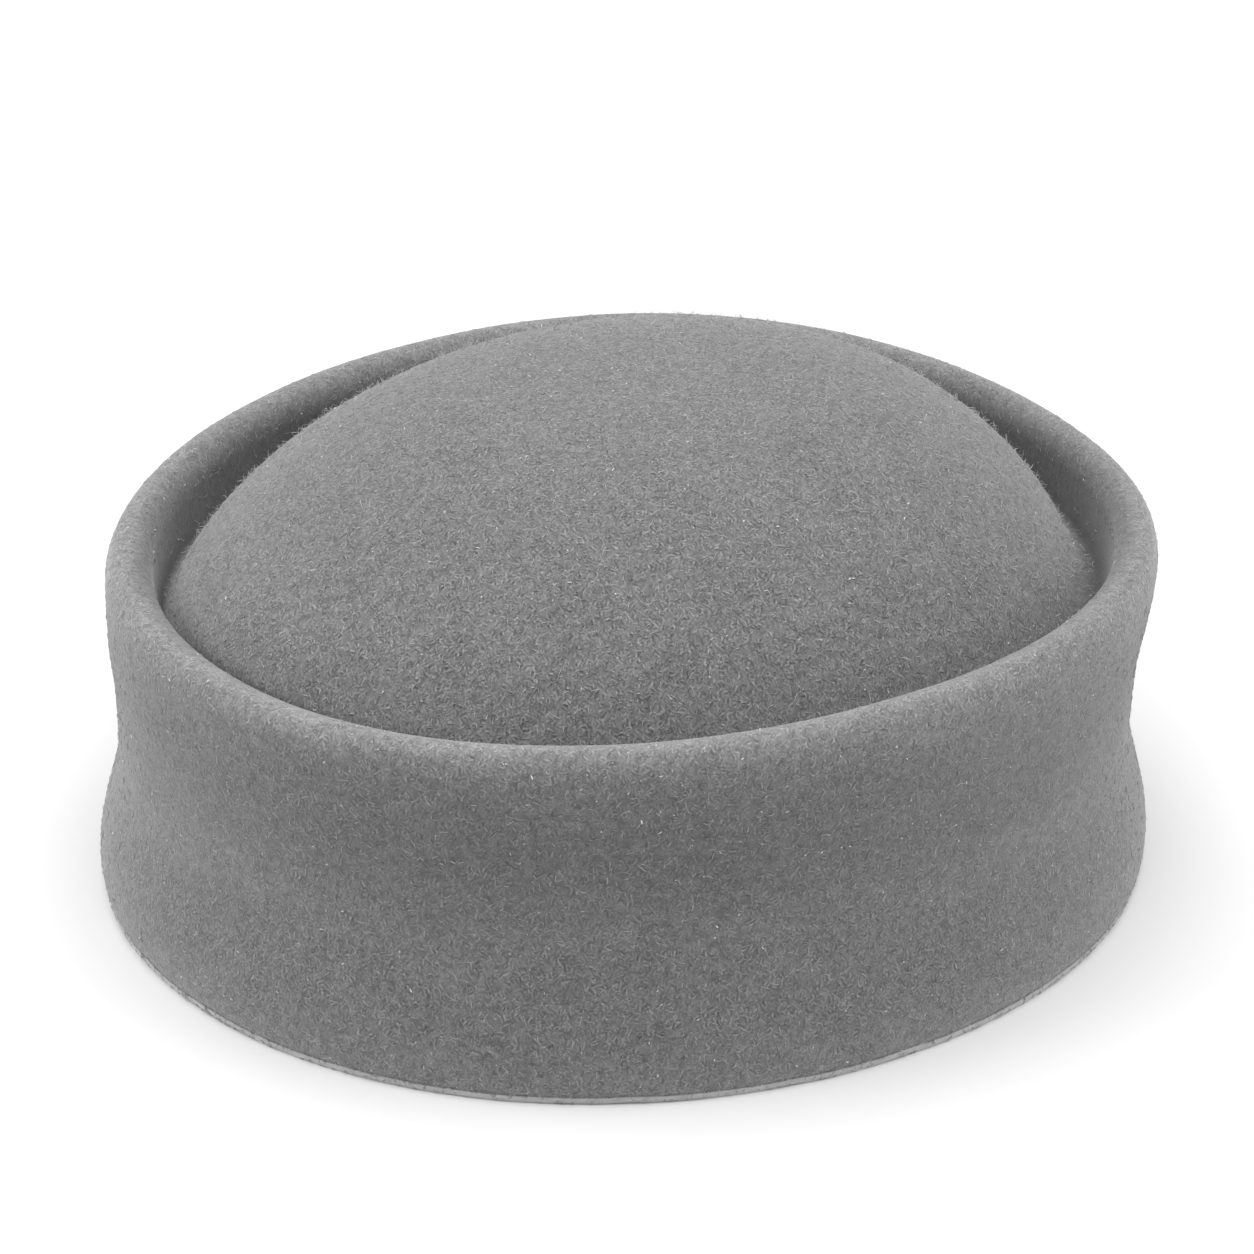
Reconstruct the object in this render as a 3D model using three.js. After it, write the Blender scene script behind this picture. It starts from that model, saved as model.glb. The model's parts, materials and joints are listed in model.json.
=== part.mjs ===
// A blocked wool felt pillbox cap: one piece of felt from the cut hem, up the side wall, over the rolled
// rim and down into the groove, then up over the domed crown. The inside is open for the head.
// Millimetres. The hem rests at z = 0 and +Z is up. +X runs the long way of the head oval, towards the end
// where the dome stands fullest.

import * as THREE from "three";

const FELT_THICKNESS = 2;
const SEGMENTS_ROUND = 64;

// The oval in plan at three levels. power is 2 for an ellipse and more for a squarer oval, taper widens the
// +X half and narrows the -X half, and shift moves the oval along X.
const HEM_OVAL = { halfLength: 95, halfWidth: 87.5, power: 2.04, taper: 0, shift: 0 };
const RIM_OVAL = { halfLength: 95, halfWidth: 88.7, power: 2.09, taper: 0.035, shift: -0.8 };
const DOME_OVAL = { halfLength: 82.2, halfWidth: 71.2, power: 2.02, taper: 0.035, shift: -1.2 };

// The raw cut along the hem is a bevel that stands on a flat ring.
const CUT_HEIGHT = 1.2;
const CUT_BEVEL = 0.5;

// Outer face of the side wall, from the hem to the start of the rim's roll. up is the share of the crest's
// height, out is how far the face stands outside the oval, lean is how far it moves out for each millimetre
// of height, sway is what the +X end adds to out and the -X end takes off, and steps is the number of
// facets up from the section before.
const WALL_SECTIONS = [
  { name: "hem", up: 0, out: 0, lean: 0.19, sway: 0, steps: 0 },
  { name: "bulge", up: 0.08, out: 0.8, lean: 0, sway: 0, steps: 2 },
  { name: "waist", up: 0.44, out: -3.8, lean: 0, sway: -0.3, steps: 4 },
  { name: "neck", up: 0.68, out: -3.4, lean: 0.11, sway: -0.3, steps: 3 },
  { name: "flare", up: 0.926, out: -2.1, lean: 0, sway: 0.5, steps: 3 },
];
const FLARE = WALL_SECTIONS.at(-1);

// Height of the rim's crest, and how it waves round the oval: once, twice and three times a turn
const CREST_HEIGHT = 65.2;
const CREST_WAVES = [
  { turns: 1, rise: 1.9 },
  { turns: 2, rise: -1 },
  { turns: 3, rise: -0.2 },
];

// The roll over the crest, measured on its outer face
const ROLL = { outward: 3.3, inward: 4.7, inwardSway: -0.4, drop: 4.7, steps: 6 };

// The dome narrows from its foot to a summit that lies forward of the middle. shoulder and fullness round
// its profile.
const DOME = { foot: 55.8, top: 90.6, summitX: 9.5, shoulder: 2.92, fullness: 1.23, steps: 10 };

// The fold from the rim's inner face down and back up to the dome's flank. dive is how steeply it leaves
// both, flare how far it leans out where it runs into the flank, and spread is where on the dome it ends.
const GROOVE = { dive: 22, flare: 1.5, spread: 0.985, steps: 6 };

// A point on an oval at a turn in radians, moved out of it by a distance along its own normal
function onOval(oval, turn, out) {
  const power = oval.power;
  const along = Math.sign(Math.cos(turn)) * Math.abs(Math.cos(turn)) ** (2 / power);
  const across = Math.sign(Math.sin(turn)) * Math.abs(Math.sin(turn)) ** (2 / power);
  const point = new THREE.Vector2(
    oval.halfLength * along,
    oval.halfWidth * across * (1 + oval.taper * along),
  );
  const normal = new THREE.Vector2(
    Math.sign(along) * Math.abs(along) ** (power - 1) / oval.halfLength,
    Math.sign(across) * Math.abs(across) ** (power - 1) / oval.halfWidth,
  ).normalize();
  point.addScaledVector(normal, out);
  point.x += oval.shift;
  return point;
}

// An oval a share of the way from one to another
function mixOvals(from, to, share) {
  const mixed = {};
  for (const size of Object.keys(from)) mixed[size] = THREE.MathUtils.lerp(from[size], to[size], share);
  return mixed;
}

function crestHeight(turn) {
  let height = CREST_HEIGHT;
  for (const wave of CREST_WAVES) height += wave.rise * Math.cos(wave.turns * turn);
  return height;
}

// A cubic between two sections that keeps the lean of both
function hermite(share, start, startSlope, end, endSlope) {
  const squared = share * share;
  const cubed = squared * share;
  return (2 * cubed - 3 * squared + 1) * start + (cubed - 2 * squared + share) * startSlope
    + (3 * squared - 2 * cubed) * end + (cubed - squared) * endSlope;
}

// How far the wall's outer face stands outside the oval, at a share of the crest's height
function wallOut(up, turn) {
  const next = Math.max(1, WALL_SECTIONS.findIndex((section) => section.up >= up - 1e-9));
  const low = WALL_SECTIONS[next - 1];
  const high = WALL_SECTIONS[next];
  const share = (up - low.up) / (high.up - low.up);
  const rise = (high.up - low.up) * CREST_HEIGHT;
  const sway = hermite(share, low.sway, 0, high.sway, 0) * Math.cos(turn);
  return hermite(share, low.out, low.lean * rise, high.out, high.lean * rise) + sway;
}

function wallPoint(up, turn) {
  const share = THREE.MathUtils.smoothstep(up, 0, FLARE.up);
  const plan = onOval(mixOvals(HEM_OVAL, RIM_OVAL, share), turn, wallOut(up, turn));
  return new THREE.Vector3(plan.x, plan.y, up * crestHeight(turn));
}

// A point on the roll, which swings from 0 at the flare, over the crest at a quarter, to a half turn inside
function rollPoint(swing, turn) {
  const crest = crestHeight(turn);
  const goingUp = swing <= Math.PI / 2;
  const inward = ROLL.inward + ROLL.inwardSway * Math.cos(turn);
  const reach = goingUp ? ROLL.outward : inward;
  const drop = goingUp ? crest * (1 - FLARE.up) : ROLL.drop;
  const middle = FLARE.out + FLARE.sway * Math.cos(turn) - ROLL.outward;
  const plan = onOval(RIM_OVAL, turn, middle + reach * Math.cos(swing));
  return new THREE.Vector3(plan.x, plan.y, crest - drop + drop * Math.sin(swing));
}

// A point on the dome. spread is 1 at its foot and 0 at its summit.
function domePoint(spread, turn) {
  const plan = onOval(DOME_OVAL, turn, 0);
  const rise = (1 - spread ** DOME.shoulder) ** (1 / DOME.fullness);
  return new THREE.Vector3(
    THREE.MathUtils.lerp(DOME.summitX, plan.x, spread),
    plan.y * spread,
    THREE.MathUtils.lerp(DOME.foot, DOME.top, rise),
  );
}

// A point on the fold, a share of the way from the rim's inner face round under to the dome's flank
function groovePoint(share, turn) {
  const rimSide = rollPoint(Math.PI, turn);
  const domeSide = domePoint(GROOVE.spread, turn);
  const across = hermite(share, 0, 0, 1, GROOVE.flare);
  return new THREE.Vector3(
    THREE.MathUtils.lerp(rimSide.x, domeSide.x, across),
    THREE.MathUtils.lerp(rimSide.y, domeSide.y, across),
    hermite(share, rimSide.z, -GROOVE.dive, domeSide.z, GROOVE.dive),
  );
}

// Each row is a function that gives the felt's outer face at a turn round the oval, in order from the top
// of the hem's cut to the dome just below its summit.
function outerRows() {
  const cutTop = CUT_HEIGHT / CREST_HEIGHT;
  const rows = [(turn) => wallPoint(cutTop, turn)];
  for (let next = 1; next < WALL_SECTIONS.length; next += 1) {
    const low = WALL_SECTIONS[next - 1];
    const high = WALL_SECTIONS[next];
    for (let step = 1; step <= high.steps; step += 1) {
      const up = THREE.MathUtils.lerp(Math.max(low.up, cutTop), high.up, step / high.steps);
      rows.push((turn) => wallPoint(up, turn));
    }
  }
  for (let step = 1; step <= ROLL.steps; step += 1) {
    rows.push((turn) => rollPoint(Math.PI * step / ROLL.steps, turn));
  }
  for (let step = 1; step <= GROOVE.steps; step += 1) {
    rows.push((turn) => groovePoint(step / GROOVE.steps, turn));
  }
  const flank = Math.acos(GROOVE.spread);
  for (let step = 1; step < DOME.steps; step += 1) {
    const spread = Math.cos(THREE.MathUtils.lerp(flank, Math.PI / 2, step / DOME.steps));
    rows.push((turn) => domePoint(spread, turn));
  }
  return rows;
}

// Points of one ring, all the way round
function ring(row) {
  return Array.from({ length: SEGMENTS_ROUND }, (_, side) => row(2 * Math.PI * side / SEGMENTS_ROUND));
}

// Faces between two rings of a list of rings, seen from outside when the second lies above the first
function bandFaces(low, high) {
  const faces = [];
  for (let side = 0; side < SEGMENTS_ROUND; side += 1) {
    const next = (side + 1) % SEGMENTS_ROUND;
    const corners = [
      low * SEGMENTS_ROUND + side,
      low * SEGMENTS_ROUND + next,
      high * SEGMENTS_ROUND + next,
      high * SEGMENTS_ROUND + side,
    ];
    faces.push(corners[0], corners[1], corners[2], corners[0], corners[2], corners[3]);
  }
  return faces;
}

// Faces from a ring to a single point above it
function capFaces(last, summit) {
  const faces = [];
  for (let side = 0; side < SEGMENTS_ROUND; side += 1) {
    faces.push(last * SEGMENTS_ROUND + side, last * SEGMENTS_ROUND + (side + 1) % SEGMENTS_ROUND, summit);
  }
  return faces;
}

function meshOf(points, faces) {
  const geometry = new THREE.BufferGeometry().setFromPoints(points);
  geometry.setIndex(faces);
  return geometry;
}

// The outer face as an open sheet, so that its normals give the inner face one felt thickness away
function outerSheet(rings, summit) {
  const faces = [];
  for (let row = 1; row < rings.length; row += 1) faces.push(...bandFaces(row - 1, row));
  faces.push(...capFaces(rings.length - 1, rings.length * SEGMENTS_ROUND));
  const sheet = meshOf([...rings.flat(), summit], faces);
  sheet.computeVertexNormals();
  return sheet;
}

function feltShell() {
  const outer = outerRows().map(ring);
  const summit = new THREE.Vector3(DOME.summitX, 0, DOME.top);
  const normals = outerSheet(outer, summit).getAttribute("normal");
  const inner = outer.map((points, row) => points.map((point, side) => {
    const normal = new THREE.Vector3().fromBufferAttribute(normals, row * SEGMENTS_ROUND + side);
    return point.clone().addScaledVector(normal, -FELT_THICKNESS);
  }));
  const innerSummit = summit.clone().setZ(DOME.top - FELT_THICKNESS);
  const footOutside = ring((turn) => {
    const plan = onOval(HEM_OVAL, turn, wallOut(CUT_HEIGHT / CREST_HEIGHT, turn) - CUT_BEVEL);
    return new THREE.Vector3(plan.x, plan.y, 0);
  });
  const footInside = inner[0].map((point) => point.clone().setZ(0));

  // One strip of rings, from under the summit down the inside, across the foot and up the outside
  const rings = [...inner.toReversed(), footInside, footOutside, ...outer];
  const innerPole = rings.length * SEGMENTS_ROUND;
  const faces = capFaces(0, innerPole);
  for (let side = 0; side < faces.length; side += 3) {
    [faces[side], faces[side + 1]] = [faces[side + 1], faces[side]];
  }
  for (let row = 1; row < rings.length; row += 1) faces.push(...bandFaces(row - 1, row));
  faces.push(...capFaces(rings.length - 1, innerPole + 1));
  return meshOf([...rings.flat(), innerSummit, summit], faces);
}

const greyFelt = new THREE.MeshStandardMaterial({ color: 0x747474, roughness: 0.95, metalness: 0 });
const feltShellMesh = new THREE.Mesh(feltShell(), greyFelt);
feltShellMesh.name = "felt_shell";

const cap = new THREE.Group();
cap.add(feltShellMesh);

export default cap;
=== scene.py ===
# %% [markdown]
# # A blocked felt pillbox hat
#
# The hat is one piece of grey wool felt, about 2 mm thick. A hatter steams a felt cone, pulls it over a
# wooden block, presses a groove round the crown, rolls the rim and cuts the hem with a knife. So there is no
# seam, no band and no lining: everything that is seen is felt.
#
# The packed frame gives the hat's size and place as one plain shell. This script makes the looks round it:
# a finer skin of the same form, the felt's finish, and loose wool fibres that lie on it and stand off it.

# %% Load the fixed frame
import json
import math

import bpy
from mathutils import Matrix, Vector

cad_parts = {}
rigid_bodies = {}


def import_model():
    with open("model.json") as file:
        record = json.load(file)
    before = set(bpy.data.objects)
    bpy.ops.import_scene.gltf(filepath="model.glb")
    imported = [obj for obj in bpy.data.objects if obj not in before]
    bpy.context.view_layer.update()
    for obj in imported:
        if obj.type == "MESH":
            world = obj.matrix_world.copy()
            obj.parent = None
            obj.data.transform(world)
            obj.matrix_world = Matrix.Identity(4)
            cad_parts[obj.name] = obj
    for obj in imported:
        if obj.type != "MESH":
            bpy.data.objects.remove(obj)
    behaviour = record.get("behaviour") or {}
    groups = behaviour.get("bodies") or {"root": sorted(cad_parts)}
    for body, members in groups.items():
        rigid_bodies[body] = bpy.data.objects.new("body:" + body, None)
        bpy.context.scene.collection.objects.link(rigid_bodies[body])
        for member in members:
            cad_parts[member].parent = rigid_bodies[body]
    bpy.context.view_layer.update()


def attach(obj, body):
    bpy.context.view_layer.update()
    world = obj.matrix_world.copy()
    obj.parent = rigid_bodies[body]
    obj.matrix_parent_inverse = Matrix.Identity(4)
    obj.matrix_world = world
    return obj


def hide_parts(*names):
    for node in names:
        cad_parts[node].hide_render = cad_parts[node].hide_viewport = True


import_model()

MM = 0.001
scene = bpy.context.scene

# %% [markdown]
# ## The camera
#
# The hat is seen from about 27 degrees above, turned 33 degrees from its long side, through a long lens from
# about a metre away. A long lens keeps the near and the far side of the rim close to the same width. The
# place could be set by eye, but an oval hat shows every wrong degree in how its two ovals cross, so these
# values were worked out from the outline, the rim and the dome together.

# %% Place the camera
SENSOR = 36
LENS = 149.73
AIM = Vector((-0.4, 0, 35)) * MM
DISTANCE = 930.9 * MM
AIM_RISE = 7.85 * MM
PITCH = math.radians(26.56)
TURN = math.radians(-32.98)
ROLL = math.radians(0.86)

camera_data = bpy.data.cameras.new("camera")
camera_data.sensor_width = SENSOR
camera_data.lens = LENS
camera = bpy.data.objects.new("camera", camera_data)
scene.collection.objects.link(camera)
facing = Matrix.Rotation(TURN, 4, "Z") @ Matrix.Rotation(math.pi / 2 - PITCH, 4, "X")
place = Matrix.Rotation(TURN, 4, "Z") @ Matrix.Translation(AIM)
place.translation += facing.to_3x3() @ Vector((0, AIM_RISE, DISTANCE))
camera.matrix_world = Matrix.Translation(place.translation) @ facing @ Matrix.Rotation(ROLL, 4, "Z")
scene.camera = camera
print("camera at", [round(value, 3) for value in camera.matrix_world.translation])

# %% [markdown]
# ## The studio
#
# A felt's colour is easy to spoil with light: one hard lamp turns the fibres into glitter and the groove
# into a black line. Large soft boxes wrap round the form instead, so the dome shades slowly from its summit
# to its foot. The strongest stands above and a little behind. One at each side draws the edges of the wall, a
# high one in front keeps the wall readable, and a weak one at the back lifts the far side of the rim. The
# pale floor throws light back up at the lower wall.

# %% An empty material
def node_material(name):
    """A new material with an empty node tree."""
    material = bpy.data.materials.new(name)
    material.use_nodes = True
    material.node_tree.nodes.clear()
    return material


print("material helper ready")

# %% Floor
FLOOR_HALF = 3.0
FLOOR_TONE = 0.93


def make_floor():
    """A wide pale floor under the hat."""
    mesh = bpy.data.meshes.new("floor")
    corners = [(x * FLOOR_HALF, y * FLOOR_HALF, 0) for x, y in ((-1, -1), (1, -1), (1, 1), (-1, 1))]
    mesh.from_pydata(corners, [], [(0, 1, 2, 3)])
    floor = bpy.data.objects.new("floor", mesh)
    scene.collection.objects.link(floor)
    material = node_material("pale_floor")
    nodes = material.node_tree.nodes
    diffuse = nodes.new("ShaderNodeBsdfDiffuse")
    diffuse.inputs["Color"].default_value = (FLOOR_TONE, FLOOR_TONE, FLOOR_TONE, 1)
    output = nodes.new("ShaderNodeOutputMaterial")
    material.node_tree.links.new(diffuse.outputs["BSDF"], output.inputs["Surface"])
    mesh.materials.append(material)
    return floor


make_floor()
print("floor", 2 * FLOOR_HALF, "m wide")

# %% World
WORLD_STRENGTH = 0.035
WORLD_SEEN = 0.93


def make_world():
    """Dim even light from all round. The camera sees it as pale as the floor."""
    world = bpy.data.worlds.new("studio")
    world.use_nodes = True
    nodes = world.node_tree.nodes
    nodes.clear()
    light = nodes.new("ShaderNodeBackground")
    light.inputs["Color"].default_value = (1, 1, 1, 1)
    light.inputs["Strength"].default_value = WORLD_STRENGTH
    seen = nodes.new("ShaderNodeBackground")
    seen.inputs["Color"].default_value = (WORLD_SEEN, WORLD_SEEN, WORLD_SEEN, 1)
    path = nodes.new("ShaderNodeLightPath")
    mix = nodes.new("ShaderNodeMixShader")
    output = nodes.new("ShaderNodeOutputWorld")
    links = world.node_tree.links
    links.new(path.outputs["Is Camera Ray"], mix.inputs["Fac"])
    links.new(light.outputs["Background"], mix.inputs[1])
    links.new(seen.outputs["Background"], mix.inputs[2])
    links.new(mix.outputs["Shader"], output.inputs["Surface"])
    scene.world = world


make_world()
scene.view_settings.view_transform = "Standard"
print("world strength:", WORLD_STRENGTH)

# %% Soft boxes
# Azimuth is measured from the camera's side: 0 is behind the camera, 90 to its right, 180 beyond the hat.
SOFT_BOXES = [
    {"name": "top", "azimuth": 180, "elevation": 80, "away": 1.4, "size": 1.1, "watts": 14.1},
    {"name": "front", "azimuth": 0, "elevation": 58, "away": 1.4, "size": 1.1, "watts": 9.1},
    {"name": "left", "azimuth": -85, "elevation": 28, "away": 1.4, "size": 1.1, "watts": 9.4},
    {"name": "right", "azimuth": 85, "elevation": 28, "away": 1.4, "size": 1.1, "watts": 8.1},
    {"name": "back", "azimuth": -135, "elevation": 32, "away": 1.4, "size": 1.1, "watts": 1.7},
]
LIT_POINT = Vector((0, 0, 45)) * MM


def make_soft_box(name, azimuth, elevation, away, size, watts):
    """A square soft box that faces the hat."""
    lamp = bpy.data.lights.new(name, "AREA")
    lamp.shape = "SQUARE"
    lamp.size = size
    lamp.energy = watts
    box = bpy.data.objects.new(name + "_soft_box", lamp)
    scene.collection.objects.link(box)
    sideways = math.radians(azimuth) + TURN
    up = math.radians(elevation)
    direction = Vector((
        math.sin(sideways) * math.cos(up),
        -math.cos(sideways) * math.cos(up),
        math.sin(up),
    ))
    box.location = LIT_POINT + direction * away
    box.rotation_euler = direction.to_track_quat("Z", "Y").to_euler()
    return box


for row in SOFT_BOXES:
    make_soft_box(**row)
print(len(SOFT_BOXES), "soft boxes")

# %% [markdown]
# ## The hat's form, as a rule
#
# Every level of the hat is an oval, a little fuller than an ellipse and a little wider at the +X end. Only a
# few sizes change from level to level, so the form is a rule and not a sculpture: an oval, a list of rows up
# the wall, over the rim, down the groove and up the dome, and one height that waves round the rim. These are
# the frame's own sizes. A sculpted mesh could look the same, but it couldn't be checked against the frame.

# %% Ovals of the hem, the rim and the dome
HEM_OVAL = {"half_length": 95 * MM, "half_width": 87.5 * MM, "power": 2.04, "taper": 0, "shift": 0}
RIM_OVAL = {
    "half_length": 95 * MM, "half_width": 88.7 * MM, "power": 2.09, "taper": 0.035, "shift": -0.8 * MM,
}
DOME_OVAL = {
    "half_length": 82.2 * MM, "half_width": 71.2 * MM, "power": 2.02, "taper": 0.035, "shift": -1.2 * MM,
}
print("hem oval:", HEM_OVAL["half_length"] * 2 / MM, "by", HEM_OVAL["half_width"] * 2 / MM, "mm")

# %% Sizes of the profile
THICKNESS = 2 * MM

# up is the share of the rim's height, out the distance outside the oval, lean how fast the face moves out
# on its way up, and sway what the +X end adds to out.
WALL_SECTIONS = [
    {"up": 0, "out": 0, "lean": 0.19, "sway": 0},
    {"up": 0.08, "out": 0.8 * MM, "lean": 0, "sway": 0},
    {"up": 0.44, "out": -3.8 * MM, "lean": 0, "sway": -0.3 * MM},
    {"up": 0.68, "out": -3.4 * MM, "lean": 0.11, "sway": -0.3 * MM},
    {"up": 0.926, "out": -2.1 * MM, "lean": 0, "sway": 0.5 * MM},
]
FLARE = WALL_SECTIONS[-1]
CREST_HEIGHT = 65.2 * MM
CREST_RISES = {1: 1.9 * MM, 2: -1 * MM, 3: -0.2 * MM}
ROLL_OUTWARD = 3.3 * MM
ROLL_INWARD = 4.7 * MM
ROLL_INWARD_SWAY = -0.4 * MM
ROLL_DROP = 4.7 * MM
GROOVE_DIVE = 22 * MM
GROOVE_FLARE = 1.5
GROOVE_SPREAD = 0.985
DOME_FOOT = 55.8 * MM
DOME_TOP = 90.6 * MM
DOME_SUMMIT_X = 9.5 * MM
DOME_SHOULDER = 2.92
DOME_FULLNESS = 1.23
CUT_HEIGHT = 1.2 * MM
CUT_BEVEL = 0.5 * MM
print("crest at", CREST_HEIGHT / MM, "mm, dome at", DOME_TOP / MM, "mm")

# %% [markdown]
# ## Rows from the hem to the summit
#
# A row holds what the rule needs at one level: the oval, the distance outside it, and the height as a share
# of the crest plus a lift. The outer rows go up the wall, over the roll, round the fold and up the dome. The
# inner rows are the same rows moved in by the felt's thickness, along the profile's own normal, and the two
# sets meet at the knife-cut hem.
#
# Each row also keeps the name of its region, and its depth in the groove: 0 on the rim's crest, 1 on the
# floor of the fold and 0 again on the dome's flank. The felt's material reads both later, and the fibres read
# the region.

# %% Ways to mix two rows
def mix(low, high, share):
    """The value a share of the way from low to high."""
    return low + (high - low) * share


def mix_ovals(low, high, share):
    """An oval a share of the way from one to another."""
    return {size: mix(low[size], high[size], share) for size in low if size != "region"}


def smooth(share):
    """A share that starts and ends gently."""
    return share * share * (3 - 2 * share)


def hermite(share, start, start_slope, end, end_slope):
    """A cubic between two values that keeps the slopes at both."""
    rest = 1 - share
    return (
        rest * rest * (1 + 2 * share) * start + share * rest * rest * start_slope
        + share * share * (3 - 2 * share) * end - share * share * rest * end_slope
    )


half_way = mix_ovals(RIM_OVAL, DOME_OVAL, 0.5)
print("halfway in from rim to dome:", round(half_way["half_length"] / MM, 1), "mm half long")

# %% Rows of each region
def row_at(region, oval, out, sway, crest, lift, depth=0):
    """One row: its oval, how far outside it the face lies, its height, and its depth in the groove."""
    return {**oval, "region": region, "out": out, "sway": sway, "crest": crest, "lift": lift, "depth": depth}


def wall_row(up):
    """A row of the side wall, at a share of the crest's height."""
    index = next(index for index in range(1, len(WALL_SECTIONS)) if WALL_SECTIONS[index]["up"] >= up - 1e-9)
    low = WALL_SECTIONS[index - 1]
    high = WALL_SECTIONS[index]
    share = (up - low["up"]) / (high["up"] - low["up"])
    rise = (high["up"] - low["up"]) * CREST_HEIGHT
    out = hermite(share, low["out"], low["lean"] * rise, high["out"], high["lean"] * rise)
    sway = hermite(share, low["sway"], 0, high["sway"], 0)
    oval = mix_ovals(HEM_OVAL, RIM_OVAL, smooth(up / FLARE["up"]))
    return row_at("wall", oval, out, sway, up, 0)


def roll_row(swing):
    """A row of the rolled rim. The swing goes from 0 outside, over the crest, to half a turn inside."""
    out = FLARE["out"] - ROLL_OUTWARD
    if swing <= math.pi / 2:
        out += ROLL_OUTWARD * math.cos(swing)
        crest = 1 - (1 - FLARE["up"]) * (1 - math.sin(swing))
        return row_at("roll", RIM_OVAL, out, FLARE["sway"], crest, 0)
    out += ROLL_INWARD * math.cos(swing)
    sway = FLARE["sway"] + ROLL_INWARD_SWAY * math.cos(swing)
    depth = swing / math.pi - 0.5
    return row_at("roll", RIM_OVAL, out, sway, 1, -ROLL_DROP * (1 - math.sin(swing)), depth)


def dome_row(spread):
    """A row of the dome. The spread is 1 at its foot and 0 at its summit."""
    rise = (1 - spread ** DOME_SHOULDER) ** (1 / DOME_FULLNESS)
    oval = {
        **DOME_OVAL,
        "half_length": DOME_OVAL["half_length"] * spread,
        "half_width": DOME_OVAL["half_width"] * spread,
        "shift": mix(DOME_SUMMIT_X, DOME_OVAL["shift"], spread),
    }
    return row_at("dome", oval, 0, 0, 0, mix(DOME_FOOT, DOME_TOP, rise))


def fold_row(share):
    """A row of the fold, from the rim's inner face round under and up to the dome's flank."""
    rim_side = roll_row(math.pi)
    dome_side = dome_row(GROOVE_SPREAD)
    across = hermite(share, 0, 0, 1, GROOVE_FLARE)
    crest = hermite(share, 1, 0, 0, 0)
    lift = hermite(share, rim_side["lift"], -GROOVE_DIVE, dome_side["lift"], GROOVE_DIVE)
    sizes = mix_ovals(rim_side, dome_side, across)
    region = "groove" if share < 0.5 else "dome"
    depth = 0.5 + share if share < 0.5 else 2 - 2 * share
    return {**sizes, "region": region, "crest": crest, "lift": lift, "depth": depth}


print("height of the dome's flank:", round(dome_row(GROOVE_SPREAD)["lift"] / MM, 1), "mm")

# %% Outer rows
WALL_ROWS = 54
ROLL_ROWS = 22
FOLD_ROWS = 17
DOME_ROWS = 48


def outer_rows():
    """All the rows of the outer face, from the top of the hem's cut to the dome's summit."""
    cut_top = CUT_HEIGHT / CREST_HEIGHT
    rows = [wall_row(mix(cut_top, FLARE["up"], step / WALL_ROWS)) for step in range(WALL_ROWS + 1)]
    rows += [roll_row(math.pi * step / ROLL_ROWS) for step in range(1, ROLL_ROWS + 1)]
    rows += [fold_row(step / FOLD_ROWS) for step in range(1, FOLD_ROWS + 1)]
    start = math.acos(GROOVE_SPREAD)
    rows += [dome_row(math.cos(mix(start, math.pi / 2, step / DOME_ROWS))) for step in range(1, DOME_ROWS)]
    rows.append(dome_row(0))
    return rows


outer = outer_rows()
print(len(outer), "outer rows")

# %% Inner rows and the cut hem
INNER_STEP = 2
NECK_RISE = 0.25 * MM
NECK_DEPTH = 0.22 * MM
EDGE_HOLD = 0.08 * MM


def profile_point(row):
    """Where a row lies in the hat's side section: its reach from the middle, and its height."""
    return Vector((row["half_width"] + row["out"], row["crest"] * CREST_HEIGHT + row["lift"]))


def moved_in(rows, index, distance, region):
    """The row at an index, moved in by a distance along the profile's normal."""
    before = profile_point(rows[max(index - 1, 0)])
    after = profile_point(rows[min(index + 1, len(rows) - 1)])
    along = (after - before).normalized()
    row = dict(rows[index], region=region)
    row["out"] -= along.y * distance
    row["lift"] += along.x * distance
    return row


def all_rows():
    """Every row, from under the summit down the inside, across the hem and up the outside."""
    inside = [moved_in(outer, index, THICKNESS, "inside") for index in range(0, len(outer), INNER_STEP)]
    inside[-1] = dict(dome_row(0), region="inside", lift=DOME_TOP - THICKNESS)
    foot_inside = dict(inside[0], region="cut", crest=0, lift=0)
    foot_outside = dict(wall_row(0), region="cut", out=outer[0]["out"] - CUT_BEVEL)
    foot_middle = dict(foot_outside, out=mix(foot_inside["out"], foot_outside["out"], 0.5))
    bevel_low = dict(foot_outside, lift=EDGE_HOLD)
    bevel_middle = dict(foot_outside, out=outer[0]["out"] - CUT_BEVEL / 3, lift=CUT_HEIGHT / 2)
    cut_top = dict(outer[0], region="cut")
    neck = moved_in(outer, 0, NECK_DEPTH, "wall")
    neck["lift"] += NECK_RISE
    hem = [foot_inside, foot_middle, foot_outside, bevel_low, bevel_middle, cut_top, neck]
    return [*reversed(inside), *hem, *outer[1:]]


rows = all_rows()
print(len(rows), "rows in all")

# %% [markdown]
# ## Trees written as sums
#
# Geometry Nodes can be wired socket by socket, but a rule with roots and powers then takes a page of links.
# This small helper lets a tree be written as sums instead: a Value stands for one output socket, and each
# arithmetic sign adds one Math node. The same helper serves the shader trees further down.

# %% Sums as nodes
class Value:
    """An output socket of a tree. A sum with it adds a Math node."""

    def __init__(self, tree, socket):
        self.tree = tree
        self.socket = socket

    def __add__(self, other):
        return self.tree.math("ADD", self, other)

    def __radd__(self, other):
        return self.tree.math("ADD", other, self)

    def __sub__(self, other):
        return self.tree.math("SUBTRACT", self, other)

    def __rsub__(self, other):
        return self.tree.math("SUBTRACT", other, self)

    def __mul__(self, other):
        return self.tree.math("MULTIPLY", self, other)

    def __rmul__(self, other):
        return self.tree.math("MULTIPLY", other, self)

    def __truediv__(self, other):
        return self.tree.math("DIVIDE", self, other)

    def __rtruediv__(self, other):
        return self.tree.math("DIVIDE", other, self)

    def __pow__(self, other):
        return self.tree.math("POWER", self, other)


print("a Value adds, subtracts, multiplies, divides and raises")

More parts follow.
